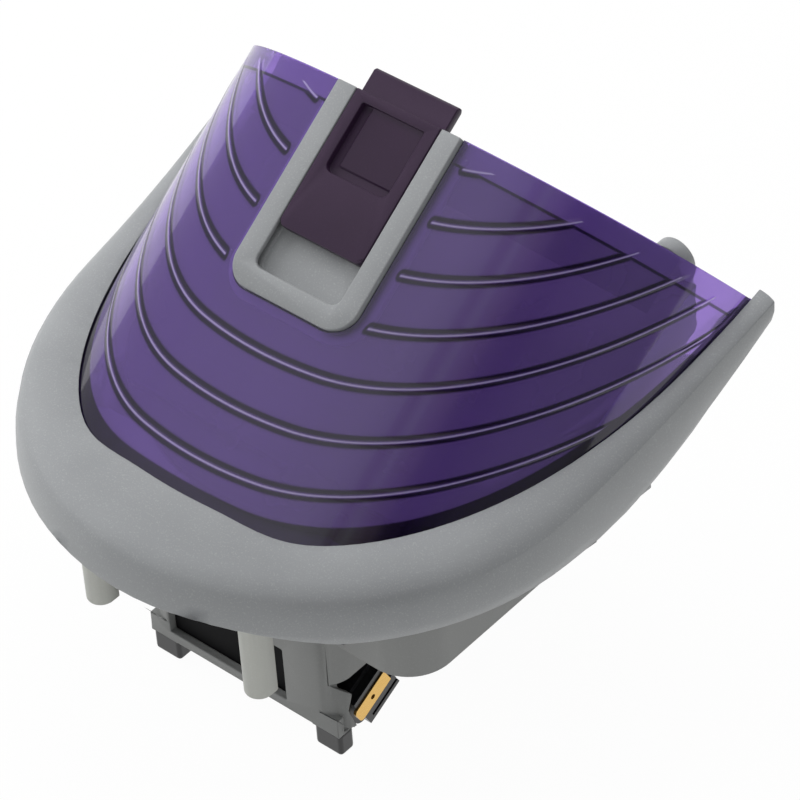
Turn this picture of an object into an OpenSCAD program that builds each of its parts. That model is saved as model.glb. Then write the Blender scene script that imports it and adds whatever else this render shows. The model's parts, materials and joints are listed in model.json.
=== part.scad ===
// Motor unit of a vacuum cleaner: a translucent hood with a sliding latch on a horseshoe rim, and below
// it a housing with a vertical universal motor and its centrifugal fan.
// Millimetres. The origin lies on the motor's axis, on the underside of the base plate. +Z is up, and -Y
// is the front, where the hood comes down to its tip.

/* [Hood] */
// Rise of the hood's straight ridge, in degrees
hood_slope = 34.7; // [32:0.1:37]
// Radius across the crown
crown_r = 160; // [140:1:200]
// Radius of each shoulder
shoulder_r = 66; // [63:0.5:68]
// Distance of a shoulder's centre from the middle
shoulder_x = 9.9; // [8:0.1:12]
// Length of the ridge from its tip to the rear edge
ridge_len = 107; // [104:0.5:112]
// Lean of the rear edge, in degrees
rear_lean = 4.2; // [2:0.1:6]
// Wall of the hood
hood_wall = 2.4; // [1.8:0.1:3]
// Upright spacing of the ribs
rib_pitch = 8; // [7:0.1:8.5]
// Number of ribs
rib_count = 7; // [5:1:7]
// Height of the lowest rib above the hood's tip
rib_first = 8.2; // [7:0.1:9]
// Width of a rib
rib_w = 2; // [1.5:0.1:3]
// Height of a rib inside the wall
rib_h = 0.8; // [0.4:0.1:1.2]
// Width of the stiff band along the rear edge
rear_band = 3; // [2:0.1:6]
// Height of the stiff band along the foot, above the rim's top
foot_band = 2.3; // [1.5:0.1:4]
// Distance from a rib's end to the latch frame
rib_end_gap = 3; // [2:0.1:5]

/* [Latch] */
// Half width of the latch frame
frame_half = 18.6; // [17:0.1:20]
// Distance of the frame's front edge from the hood's tip, along the ridge
frame_front = 53.7; // [50:0.1:57]
// Radius of the frame's front corners
frame_corner = 7; // [5:0.1:9]
// Width of the frame's bars
frame_bar = 5.7; // [5:0.1:7]
// Stand of the frame above the ridge
frame_lip = 0.3; // [0.1:0.1:1]
// Depth of the frame's channel
channel_deep = 3.3; // [3:0.1:4]
// Floor thickness of the channel
channel_floor = 3.2; // [3:0.1:4]
// Width of the flange under the hood
frame_flange = 2.5; // [1.5:0.1:3.5]
// Running clearance round the slider
slide_gap = 0.2; // [0.1:0.05:0.3]
// Length of the empty channel in front of the slider
slide_room = 11; // [10.5:0.1:12]
// Travel of the slider
slide_travel = 10; // [8:0.1:10]
// Length of the tab behind the frame
tab_len = 6.5; // [5:0.1:8]
// Thickness of the tab
tab_thick = 2.5; // [2:0.1:3]
// Drop of the tab's top below the slider's
tab_drop = 2.1; // [1.5:0.1:2.4]
// Half width of the finger recess
recess_half = 9.3; // [8:0.1:10]
// Length of the finger recess
recess_len = 18; // [15:0.1:19]
// Depth of the finger recess
recess_deep = 1.9; // [1.2:0.1:2.2]
// Height of the raised pad in the finger recess
pad_step = 0.6; // [0.3:0.1:1]
// Width of the groove round that pad
pad_groove = 2.4; // [1.5:0.1:3]
// Reach of the slider's side tongues
tongue = 1.2; // [0.8:0.1:1.6]
// Outer diameter of the latch spring
spring_d = 3.6; // [3:0.1:4]
// Wire of the latch spring
spring_wire = 0.5; // [0.4:0.05:0.6]
// Turns of the latch spring
spring_turns = 9; // [7:1:10]
// Length of the slider's post along the ridge
post_len = 4; // [3:0.1:5]
// Length of the slot that the post runs in
slot_len = 21.5; // [20:0.1:23]

/* [Rim] */
// Radius of the rim's front in plan
rim_r = 75.2; // [74:0.1:78]
// Distance of that radius's centre behind the hood's tip
rim_centre = 59.8; // [58:0.1:62]
// Outward flare of the rim's sides, in degrees
rim_flare = 3.9; // [2:0.1:5]
// Distance of the rim's rear ends behind the hood's tip
rim_end = 125; // [122:0.5:128]
// Radius of the rim's hollow top line, seen from the side
sweep_r = 330; // [300:5:380]
// Distance of that line's lowest point behind the hood's tip
sweep_mid = 17; // [12:0.5:22]
// Height of that lowest point above the hood's tip
sweep_low = 1.7; // [0.5:0.1:2.5]
// Top wall of the rim
rim_top_wall = 3; // [2.5:0.1:3.5]
// Side wall of the rim
rim_side_wall = 2.4; // [2:0.1:3]
// Height of the rim's lower edge at the front, below the hood's tip
rim_drop = 14.8; // [13:0.1:17]
// Rise of the lower edge at the rear ends
rim_tuck = 26; // [22:0.5:28]
// Gap between the hood and the rim
hood_gap = 0.3; // [0.2:0.1:1]
// Depth of the hood's foot below the rim's top
foot_deep = 5; // [4:0.1:6]
// Thickness of the deck inside the rim
deck_thick = 2.5; // [2:0.1:3.5]
// Depth of the deck's underside below the hood's tip
deck_drop = 12.5; // [11.5:0.1:13]
// Radius of the round front of the two hanging pins
pin_r = 3.7; // [3.2:0.1:4]
// Depth of a pin's flat-sided back behind that radius's centre
pin_back = 2.4; // [1.5:0.1:3.5]
// Distance of a pin from the middle
pin_x = 25.3; // [24:0.1:27]
// Distance of the pins behind the hood's tip
pin_behind = 0.4; // [0:0.1:2]
// Length of the pins below the deck
pin_len = 30; // [26:0.5:31]
// Distance of a locating ear from the middle
ear_x = 56; // [52:0.5:58]
// Half width of an ear
ear_half = 5.5; // [4:0.1:6]
// Thickness of an ear
ear_thick = 4; // [3:0.1:6]
// Height of an ear's top above the base plate's underside
ear_top = 104; // [98:0.5:106]

/* [Housing] */
// Distance of the motor's axis behind the hood's tip
tip_front = 64; // [62:0.5:66]
// Half width of the tray
tray_half = 56; // [52:0.5:58]
// Gap between the fan casing and the tray's front and rear walls
casing_gap = 1.3; // [1:0.1:4]
// Radius of the tray's upright corners
tray_corner = 12; // [8:0.5:16]
// Height of the tray's underside
tray_base = 31; // [29:0.5:32]
// Wall of the housing
case_wall = 2.2; // [1.8:0.1:2.8]
// Width of the tray's top flange
flange_w = 7; // [6:0.1:8]
// Half width of the pod below the tray
pod_half = 31; // [30:0.5:34]
// Distance of the pod's front face before the motor's axis
pod_front = 44.5; // [43:0.5:46]
// Distance of the pod's rear face behind the motor's axis
pod_rear = 40; // [38:0.5:43]
// Radius of the pod's upright corners
pod_corner = 7; // [4:0.5:9]
// Length of a lug below the base plate
lug_len = 7; // [5:0.5:9]
// Half distance between the lugs, across
lug_x = 26.3; // [25:0.1:27]
// Width of a lug
lug_w = 8.4; // [6:0.1:10]
// Thickness of the base plate
plate_thick = 2; // [1.5:0.1:3]
// Height of the air window's sill
sill = 2.8; // [2.4:0.1:4]
// Height of the air window
window_h = 17; // [12:0.5:20]
// Width of the air window
window_w = 38; // [30:0.5:42]
// Distance of the window's left edge from the middle
window_left = 24; // [20:0.5:26]

/* [Air duct] */
// Half width of the duct
duct_half = 65; // [60:0.5:66]
// Slope of the duct's roof, in degrees
roof_slope = 26.4; // [24:0.1:28]
// Wall of the duct
duct_wall = 2; // [1.5:0.1:2.5]
// Distance of the duct's open rear end behind the axis
duct_rear = 50; // [46:0.5:52]
// Distance behind the axis at which the roof of the duct starts to rise
roof_start = -11; // [-14:0.5:-6]
// Radius of the air eye in the duct's floor
eye_r = 18; // [16:0.5:20]

/* [Motor] */
// Radius of the shaft
shaft_r = 3; // [2.5:0.1:3.5]
// Outer radius of the bearings
bearing_r = 9.5; // [8.5:0.1:10]
// Height of the bearings
bearing_h = 6; // [5:0.1:7]
// Radius of the commutator
commutator_r = 10; // [8.5:0.1:10.5]
// Number of commutator bars
bar_count = 24; // [16:2:28]
// Radius of the armature
armature_r = 15; // [14:0.1:15.5]
// Length of the armature's iron
stack_len = 12; // [10:0.1:12.5]
// Number of armature slots
slot_count = 12; // [8:2:14]
// Air gap between the armature and the field
air_gap = 0.7; // [0.5:0.1:1]
// Outer radius of the motor's can
can_r = 27.5; // [27:0.1:28]
// Wall of the can
can_wall = 1.2; // [1:0.1:1.5]
// Width of a carbon brush
brush_w = 6; // [5:0.1:6.5]
// Length of a carbon brush
brush_len = 15; // [12:0.5:16]
// Radius of the fan casing
casing_r = 40; // [39:0.1:40.5]
// Height of the fan casing
casing_h = 16; // [15:0.1:16.5]
// Sheet of the fan casing
casing_wall = 1; // [0.8:0.1:1.2]
// Radius of the impeller
impeller_r = 34; // [31:0.1:35]
// Height of the impeller's vanes
vane_h = 5.6; // [5:0.1:6]
// Number of impeller vanes
vane_count = 8; // [6:1:10]
// Thickness of the impeller's sheets and vanes
sheet = 0.9; // [0.7:0.1:1.1]
// Number of the diffuser's guide vanes
guide_count = 10; // [6:1:12]
// Height of the guide vanes
guide_h = 2.6; // [2:0.1:3]
// Thickness of the guide vanes
guide_thick = 1.2; // [0.8:0.1:1.5]
// Outer diameter of a brush spring
brush_spring_d = 4.6; // [4:0.1:5]
// Wire of a brush spring
brush_spring_wire = 0.5; // [0.4:0.05:0.6]
// Turns of a brush spring
brush_spring_turns = 4; // [3:1:6]

/* [Terminals] */
// Width of a blade terminal
blade_w = 4.8; // [4.8:0.1:6.3]
// Thickness of a blade terminal
blade_t = 0.8; // [0.5:0.1:1]
// Length of a blade outside its carrier
blade_len = 12.5; // [10:0.5:14]
// Downward tilt of the blades, in degrees
blade_tilt = 27.6; // [20:0.1:32]
// Height of a blade's middle
blade_z = 5.1; // [4.5:0.1:6]
// Distance of a blade's middle before the axis
blade_y = 32.5; // [31:0.1:34]
// Thickness of a terminal carrier's plate
carrier_thick = 4; // [3:0.1:5]
// Length of a carrier's pad along the blade
pad_len = 12.3; // [11:0.1:13]
// Width of a carrier's pad
pad_w = 11.6; // [10.5:0.1:12]

/* [Screws] */
// Radius of the four housing screws
screw_r = 1.45; // [1.2:0.05:1.6]
// Radius of their heads
head_r = 2.8; // [2.5:0.1:3.2]
// Height of their heads
head_h = 2; // [1.5:0.1:2.4]
// Depth of their holes in the rim
screw_bite = 7; // [6:0.1:8]

/* [Hidden] */
$fn = 96;
over = 1;                       // how far a cutting body passes the surface that it cuts
reach = 150;                    // larger than half of the whole unit
hood_col = "#5E5080";
grey = "#9CA1A3";
case_grey = "#7C7F80";
black = "#232326";
steel = "#B4B6B8";
brass = "#D8B05A";

// Heights above the base plate's underside
bracket_z = 41;                                      // underside of the fan bracket
bracket_thick = 2;
casing_z = bracket_z + bracket_thick;                // foot of the fan casing
casing_top = casing_z + casing_h;
seal_h = 3;
floor_z = casing_top + seal_h;                       // underside of the duct's floor, top of the deck
floor_thick = 2;
deck_z = floor_z - deck_thick;
tip_height = deck_z + deck_drop;                     // tip of the hood
flange_thick = 2.5;
tray_top = deck_z;
tray_len_half = casing_r + casing_gap + case_wall;   // the tray holds the fan casing
stack_z = 24;                                        // foot of the armature's iron
overhang = 2.4;                                      // end turns of the windings
lower_bearing_z = plate_thick + 1.5;
upper_bearing_z = bracket_z - 1.5;
commutator_z = lower_bearing_z + bearing_h + 1.5;
commutator_h = 10;
brush_z = commutator_z + commutator_h / 2;
bracket_floor_z = lower_bearing_z + bearing_h - 1.5; // plate of the brush bracket
bracket_plate = 2;
can_z = 21;                                          // foot of the motor's can
impeller_z = casing_z + 4.2;                         // underside of the impeller
run = 0.03;                                          // radial clearance of the shaft in its bearings
seat = 0.05;                                         // clearance of a pressed seat

// Outline of the hood, seen along the ridge with its crown at the origin, grown by o
spread = asin(shoulder_x / (crown_r - shoulder_r));
shoulder_y = crown_r - (crown_r - shoulder_r) * cos(spread);
blend = 0.01;                   // sinks the crown's ends into the shoulders
module arch(o = 0) {
    far = crown_r + 30;
    for (s = [-1, 1]) translate([s * shoulder_x, -shoulder_y]) circle(shoulder_r + o, $fn = 200);
    intersection() {
        translate([0, -crown_r]) circle(crown_r + o - blend, $fn = 200);
        polygon([[0, -crown_r], [-far * sin(spread), far * cos(spread) - crown_r],
            [far * sin(spread), far * cos(spread) - crown_r]]);
    }
    translate([-shoulder_x, -shoulder_y - shoulder_r / 2]) square([2 * shoulder_x, shoulder_r]);
}

// The frame of the hood's tip, and the frame of the ridge: x across, y along the ridge, z square to it
module from_tip() translate([0, -tip_front, tip_height]) children();
module on_ridge() from_tip() rotate([hood_slope, 0, 0]) children();
module along_ridge(from, to, o) on_ridge() translate([0, to, 0]) rotate([90, 0, 0])
    linear_extrude(to - from) arch(o);

// Everything in front of the hood's rear edge, less a distance back
module before_rear(back = 0) on_ridge() translate([0, ridge_len - back, 0]) rotate([rear_lean, 0, 0])
    translate([-reach, -2 * reach, -reach]) cube([2 * reach, 2 * reach, 2 * reach]);

// Everything above the rim's hollow top line, raised by h
module above_sweep(h = 0) from_tip() translate([-reach, sweep_mid, sweep_low + sweep_r + h])
    rotate([0, 90, 0]) cylinder(r = sweep_r, h = 2 * reach, $fn = 360);

// Outline of the latch frame in the plane of the ridge, grown by o
module frame_outline(o = 0, half = frame_half, front = frame_front, corner = frame_corner, rear = ridge_len) {
    r = corner + o;
    translate([-half - o, front + corner]) square([2 * (half + o), rear - front - corner]);
    translate([-half + corner, front - o]) square([2 * (half - corner), corner + 2 * o]);
    for (s = [-1, 1]) translate([s * (half - corner), front + corner]) circle(r, $fn = 64);
}
module ridge_block(z0, z1) on_ridge() translate([0, 0, z0]) linear_extrude(z1 - z0) children();

// Hood: one moulded shell with ribs inside, cut to the rim's line below and open at the rear
module hood() color(hood_col) difference() {
    intersection() {
        along_ridge(-reach, reach, 0);
        above_sweep(seat - foot_deep);
        before_rear();
    }
    along_ridge(-reach - over, reach + over, -hood_wall - rib_h);
    intersection() {
        along_ridge(-reach - over, reach + over, -hood_wall);
        before_rear(rear_band);
        above_sweep(foot_band);
        thin_panels();
    }
    ridge_block(-12, 12) frame_outline(slide_gap, rear = reach);
}
module thin_panels() {
    first = rib_first + rib_w / 2;
    for (k = [0:rib_count - 1]) from_tip() translate([-reach, -reach, first + k * rib_pitch])
        cube([2 * reach, 2 * reach, k < rib_count - 1 ? rib_pitch - rib_w : reach]);
    from_tip() translate([-reach, -reach, rib_first - rib_w / 2 - reach]) cube([2 * reach, 2 * reach, reach]);
    ridge_block(-30, 12) frame_outline(rib_end_gap, rear = reach);
}

// Latch frame: a tray with a channel for the slider, clipped into the hood's notch from below
channel_half = frame_half - frame_bar;
channel_z = frame_lip - channel_deep;
frame_base = channel_z - channel_floor;
slot_half = spring_d / 2 + 0.4;
slot_rear = ridge_len - 8.7;
slot_front = slot_rear - slot_len;
spring_axis = channel_z - spring_d / 2 - 2.2;
trough_wall = 1.6;
trough_base = spring_axis - spring_d / 2 - 0.3;
slider_front = frame_front + frame_bar + slide_room;
post_rear = slot_rear - slide_gap;
tab_top = frame_lip - tab_drop;
tab_base = tab_top - tab_thick;
tab_front = ridge_len - 3;      // where the tab leaves the slider's plate
tongue_z = channel_z + 0.6;
tongue_h = 1.1;
flange_x = frame_half + frame_flange;
flange_r = shoulder_r - hood_wall - seat;
flange_z = sqrt(flange_r * flange_r - (flange_x - shoulder_x) * (flange_x - shoulder_x)) - shoulder_y;
module latch_frame() color(grey) difference() {
    union() {
        ridge_block(frame_base, frame_lip) frame_outline();
        ridge_block(flange_z - 1.6, flange_z)
            frame_outline(frame_flange, rear = ridge_len - rear_band - 0.3);
        ridge_block(trough_base - trough_wall, frame_base + over)
            translate([-slot_half - trough_wall, slot_front - trough_wall])
                square([2 * (slot_half + trough_wall), slot_len + 2 * trough_wall]);
    }
    ridge_block(channel_z, frame_lip + over)
        frame_outline(half = channel_half, front = frame_front + frame_bar, corner = 2.5, rear = reach);
    ridge_block(tongue_z - slide_gap, tongue_z + tongue_h + slide_gap)
        frame_outline(half = channel_half + tongue + slide_gap, front = frame_front + frame_bar + 0.5,
            corner = 1, rear = reach);
    ridge_block(trough_base, channel_z + over) translate([-slot_half, slot_front])
        square([2 * slot_half, slot_len]);
    ridge_block(tab_base - slide_gap, channel_z + over)
        translate([-channel_half, tab_front - slide_travel - slide_gap]) square([2 * channel_half, reach]);
}

// Latch slider: plate with a finger recess, side tongues, a rear tab and a post into the slot
slider_half = channel_half - slide_gap;
slider_z = channel_z + slide_gap;
recess_front = ridge_len - 2.5 - recess_len;
module latch_slider() color("#46394E") difference() {
    union() {
        ridge_block(slider_z, frame_lip) frame_outline(half = slider_half, front = slider_front, corner = 2);
        ridge_block(tongue_z, tongue_z + tongue_h) translate([-slider_half - tongue, slider_front + 2])
            square([2 * (slider_half + tongue), ridge_len - slider_front - 4]);
        tab();
        ridge_block(spring_axis - spring_d / 2, slider_z + over)
            translate([slide_gap - slot_half, post_rear - post_len])
                square([2 * (slot_half - slide_gap), post_len]);
    }
    ridge_block(frame_lip - recess_deep + pad_step, frame_lip + over) recess_outline();
    ridge_block(frame_lip - recess_deep, frame_lip + over) difference() {
        recess_outline();
        translate([pad_groove - recess_half, recess_front + pad_groove]) square(reach);
    }
}
module recess_outline()
    frame_outline(half = recess_half, front = recess_front, corner = 2, rear = recess_front + recess_len);
module tab() {
    bevel = 0.7;
    rear = ridge_len + tab_len;
    on_ridge() translate([-slider_half, 0, 0]) rotate([90, 0, 90]) linear_extrude(2 * slider_half)
        polygon([[tab_front, tab_base], [rear - bevel, tab_base], [rear, tab_base + bevel],
            [rear, tab_top - bevel], [rear - bevel, tab_top], [tab_front, tab_top]]);
}

// A round wire wound into a compression spring along z, from z = 0 to len
function ring_at(r, z, a, wire, sides) = [for (k = [0:sides - 1])
    let (q = 360 * k / sides, d = r + wire / 2 * cos(q)) [d * cos(a), d * sin(a), z + wire / 2 * sin(q)]];
module wound(d, wire, turns, len, steps = 14, sides = 6) {
    n = turns * steps;
    rise = len - wire;
    points = [for (i = [0:n])
        each ring_at((d - wire) / 2, wire / 2 + rise * i / n, 360 * i / steps, wire, sides)];
    faces = [for (i = [0:n - 1], k = [0:sides - 1])
        let (a = i * sides + k, b = i * sides + (k + 1) % sides) [b, b + sides, a + sides, a]];
    polyhedron(points, concat(faces, [[for (k = [sides - 1:-1:0]) k]],
        [[for (k = [0:sides - 1]) n * sides + k]]), convexity = 6);
}
spring_len = post_rear - post_len - slot_front - 2 * seat;
module latch_spring() color(steel) on_ridge() translate([0, slot_front + spring_len + seat, spring_axis])
    rotate([90, 0, 0]) wound(spring_d, spring_wire, spring_turns, spring_len);

// Rim: a swept horseshoe with a hollow underside, a deck inside it, two hanging pins and two ears
function sweep_z(y) = sweep_low + sweep_r - sqrt(sweep_r * sweep_r - (y - sweep_mid) * (y - sweep_mid));
function rear_share(y) = max(0, min(1, (y + 15) / 120));
function edge_z(y) = -rim_drop - 0.017 * max(0, min(y, 70))
    + rim_tuck * pow(max(0, y - 70) / (rim_end - 70), 1.6);
rim_side_x = rim_r * cos(rim_flare);
rim_side_y = rim_centre - rim_r * sin(rim_flare);
rim_lines = 7;
rim_steps = 44;
function line_point(i) = let (y = rim_end + (rim_side_y - rim_end) * i / rim_lines)
    [rim_side_x + (y - rim_side_y) * tan(rim_flare), y, cos(rim_flare), -sin(rim_flare)];
function arc_point(i) = let (a = -rim_flare - (180 - 2 * rim_flare) * i / rim_steps)
    [rim_r * cos(a), rim_centre + rim_r * sin(a), cos(a), sin(a)];
rim_stations = concat([for (i = [0:rim_lines - 1]) line_point(i)], [for (i = [0:rim_steps]) arc_point(i)],
    [for (i = [rim_lines - 1:-1:0]) let (p = line_point(i)) [-p[0], p[1], -p[2], p[3]]]);
function wall_lean(y) = 1.5 - 4.5 * rear_share(y);
function rim_section(s) = let (w = rear_share(s[1]), top = sweep_z(s[1]), low = edge_z(s[1]),
        drop = 0.8 + 4.2 * (1 - w * w), lean = wall_lean(s[1]), knee = top - drop - 0.6,
        t = rim_top_wall, q = rim_side_wall)
    [[-26 + 12 * w, top, 1], [-10 + 4 * w, top - 0.22 * drop, 1], [-5 + 2 * w, top - 0.48 * drop, 1],
     [-1.6, top - 0.78 * drop, 0], [0, knee, 0], [0.9 + lean * 0.3, knee + 0.35 * (low - knee), 0],
     [1 + lean * 0.6, knee + 0.7 * (low - knee), 0], [lean, low, 0], [lean - q, low, 0],
     [1 + lean * 0.6 - q, knee + 0.7 * (low - knee), 0], [0.9 + lean * 0.3 - q, knee + 0.4 * (low - knee), 0],
     [-0.6 - q, knee - 1.6, 0], [-2.4 - q, knee - t + 0.6, 0], [-6.5 + 2 * w, top - 0.4 * drop - t, 1],
     [-11 + 4 * w, top - 0.22 * drop - t, 1], [-26 + 12 * w, top - t, 1]];
function rim_ring(s) = [for (p = rim_section(s)) let (y = s[1] + p[0] * s[3])
    [s[0] + p[0] * s[2], y, p[1] + p[2] * (sweep_z(y) - sweep_z(s[1]))]];
module rim_shell() {
    m = 16;
    n = len(rim_stations);
    last = (n - 1) * m;
    points = [for (s = rim_stations) each rim_ring(s)];
    sides = [for (i = [0:n - 2], k = [0:m - 1])
        let (a = i * m + k, b = i * m + (k + 1) % m) each [[a, b + m, a + m], [a, b, b + m]]];
    caps = [for (k = [0:m / 2 - 2]) let (a = k, b = k + 1, c = m - 2 - k, d = m - 1 - k)
        each [[a, c, b], [a, d, c], [last + a, last + b, last + c], [last + a, last + c, last + d]]];
    from_tip() polyhedron(points, concat(sides, caps), convexity = 8);
}
deck_side = 24;                 // how far the deck follows the rim's wall behind the rim's centre
ear_y = duct_rear + 2;          // front face of the ears
module deck_outline() {
    translate([0, -tip_front]) intersection() {
        polygon([for (s = rim_stations) let (o = 0.6 * wall_lean(s[1]) - 0.3)
            [s[0] + o * s[2], s[1] + o * s[3]]]);
        translate([-reach, -reach]) square([2 * reach, reach + rim_centre + deck_side]);
    }
    translate([-ear_x - ear_half - 2, 0]) square([2 * (ear_x + ear_half + 2), ear_y + ear_thick]);
}
module ear() translate([0, ear_y, 0]) rotate([-90, 0, 0]) linear_extrude(ear_thick) {
    translate([-ear_half, -ear_top + ear_half]) square([2 * ear_half, ear_top - ear_half - floor_z + over]);
    translate([0, -ear_top + ear_half]) circle(ear_half, $fn = 64);
}
module hanging_pin() translate([0, pin_behind - tip_front, deck_z - pin_len])
    linear_extrude(pin_len + over) {
        circle(pin_r, $fn = 64);
        translate([-pin_r, 0]) square([2 * pin_r, pin_back]);
    }
seat_wall = 2.5;                // outer wall of the channel that the hood's foot stands in
module seat_ring() difference() {
    intersection() {
        along_ridge(-reach, reach, hood_gap + seat_wall);
        above_sweep(-foot_deep - 2.5);
        before_rear(-4);
        from_tip() translate([-reach, -reach, -reach]) cube([2 * reach, reach + rim_end, 2 * reach]);
    }
    above_sweep(-rim_top_wall / 2);
    along_ridge(-reach - over, reach + over, -hood_wall - rib_h - 2);
    intersection() {
        along_ridge(-reach - over, reach + over, hood_gap);
        above_sweep(-foot_deep);
    }
}
module rim() color(grey) difference() {
    union() {
        difference() {
            rim_shell();
            along_ridge(-reach, reach, hood_gap);
        }
        seat_ring();
        translate([0, 0, deck_z]) linear_extrude(deck_thick) difference() {
            deck_outline();
            tray_outline(-case_wall - 1);
        }
        for (s = [-1, 1]) {
            translate([s * pin_x, 0, 0]) hanging_pin();
            translate([s * ear_x, 0, 0]) ear();
        }
        at_screws() translate([0, 0, deck_z]) cylinder(r = boss_r, h = screw_bite + 1.5, $fn = 48);
    }
    at_screws() translate([0, 0, deck_z - over]) cylinder(r = screw_r, h = screw_bite + over, $fn = 32);
}

// Rounded rectangle about the motor's axis
module rounded(half, front, rear, r) {
    translate([-half + r, -front]) square([2 * (half - r), front + rear]);
    translate([-half, -front + r]) square([2 * half, front + rear - 2 * r]);
    for (s = [-1, 1], y = [r - front, rear - r]) translate([s * (half - r), y]) circle(r, $fn = 64);
}
module tray_outline(o = 0) rounded(tray_half + o, tray_len_half + o, tray_len_half + o, tray_corner + o);
module pod_outline(o = 0) rounded(pod_half + o, pod_front + o, pod_rear + o, pod_corner + o);

// Motor housing: a wide tray with a pod below it, four lugs and a top flange
screw_x = tray_half + flange_w - 4;
boss_r = screw_r + 2.15;
screw_y = 30;
module at_screws() for (s = [-1, 1], t = [-1, 1]) translate([s * screw_x, t * screw_y, 0]) children();
module motor_housing() color(case_grey) difference() {
    union() {
        translate([0, 0, tray_base]) linear_extrude(tray_top - tray_base) tray_outline();
        translate([0, 0, tray_top - flange_thick]) linear_extrude(flange_thick) tray_outline(flange_w);
        linear_extrude(tray_base + over) pod_outline();
        for (s = [-1, 1]) {
            translate([s * lug_x, -pod_front, 0]) lug();
            translate([s * lug_x, pod_rear, 0]) mirror([0, 1, 0]) lug();
        }
    }
    translate([0, 0, tray_base + case_wall]) linear_extrude(reach) tray_outline(-case_wall);
    translate([0, 0, -over]) linear_extrude(tray_base + over) pod_outline(-case_wall);
    translate([0, 0, tray_base - 2 * over]) cylinder(r = can_r + 0.6, h = 10);
    air_window();
    for (s = [-1, 1]) terminal_notch(s);
    at_screws() translate([0, 0, tray_top - flange_thick - over])
        cylinder(r = screw_r + 0.2, h = flange_thick + 2 * over, $fn = 32);
}
lug_in = case_wall + 3;         // how far a lug reaches in from the pod's face
module lug() translate([-lug_w / 2, 0, 0]) rotate([90, 0, 90]) linear_extrude(lug_w)
    polygon([[0, sill + 3], [0, 0], [0.6, 0.8 - lug_len], [1.4, -lug_len], [lug_in - 1, -lug_len],
        [lug_in, 0.5], [case_wall, 0.5], [case_wall, sill + 3]]);
module air_window() translate([-window_left, -pod_front - over, sill])
    cube([window_w, case_wall + 3, window_h]);
module terminal_notch(s) translate([s * (pod_half - case_wall / 2), -blade_y, blade_z]) rotate([90, 0, 90])
    translate([0, 0, -case_wall]) linear_extrude(2 * case_wall)
        polygon([[-11, 10.5], [-5.5, 11.9], [-0.5, 11.9], [14.5, 5.9], [14.5, -blade_z - over],
            [-5.7, -blade_z - over], [-7.7, 0.9], [-6.5, 5.9]]);

// Base plate: closes the pod from below, inside its walls, and leaves the lugs and the carriers free
module base_plate() color(black) linear_extrude(plate_thick) difference() {
    pod_outline(-case_wall - 0.15);
    for (s = [-1, 1], y = [-pod_front, pod_rear]) translate([s * lug_x - lug_w / 2 - 0.3, y - lug_in - 0.3])
        square([lug_w + 0.6, 2 * (lug_in + 0.3)]);
    for (s = [0, 1]) mirror([s, 0]) translate([carrier_in - 0.3, -blade_y - 7.5]) square([reach, 24]);
}

// Air duct over the fan: a floor with an eye, and a roof that opens to the rear
module duct_outline(o = 0) {
    translate([0, duct_rear - 32]) intersection() {
        circle(duct_half + o, $fn = 160);
        translate([-reach, -reach]) square([2 * reach, reach]);
    }
    translate([-duct_half - o, duct_rear - 32]) square([2 * (duct_half + o), 32]);
}
roof_z = floor_z + floor_thick + duct_wall;
module under_roof(o) rotate([90, 0, 90]) translate([0, 0, -reach]) linear_extrude(2 * reach)
    polygon([[roof_start - 20, roof_z - 40], [roof_start - 20, roof_z + o],
        [roof_start - o * tan(roof_slope / 2), roof_z + o],
        [roof_start - o * tan(roof_slope / 2) + reach, roof_z + o + reach * tan(roof_slope)],
        [roof_start + reach, roof_z - 40]]);
module duct_floor() color(black) difference() {
    translate([0, 0, floor_z]) linear_extrude(floor_thick) duct_outline();
    translate([0, 0, floor_z - over]) cylinder(r = eye_r, h = floor_thick + 2 * over);
    at_screws() translate([0, 0, floor_z - over]) cylinder(r = boss_r + 0.2, h = floor_thick + 2 * over,
        $fn = 48);
}
module duct_cover() color(black) difference() {
    intersection() {
        translate([0, 0, floor_z + floor_thick]) linear_extrude(60) duct_outline();
        under_roof(0);
    }
    intersection() {
        translate([0, 0, floor_z]) linear_extrude(80) {
            duct_outline(-duct_wall);
            translate([-duct_half + duct_wall, duct_rear - 20]) square([2 * (duct_half - duct_wall), 40]);
        }
        under_roof(-duct_wall / cos(roof_slope));
    }
    at_screws() translate([0, 0, floor_z]) cylinder(r = boss_r + 0.6, h = 8, $fn = 48);
}
module intake_seal() color("#2A2A2C") translate([0, 0, casing_top]) rotate_extrude()
    translate([eye_r + 1, 0]) square([5, seal_h]);
module mount_ring() color("#2A2A2C") translate([0, 0, tray_base + case_wall]) rotate_extrude() {
    h = bracket_z - tray_base - case_wall;
    translate([casing_r - 5, 0]) square([5, h]);
    translate([casing_r + casing_gap - 0.3 - h / 4, h / 2]) circle(h / 4, $fn = 32);
}

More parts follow.
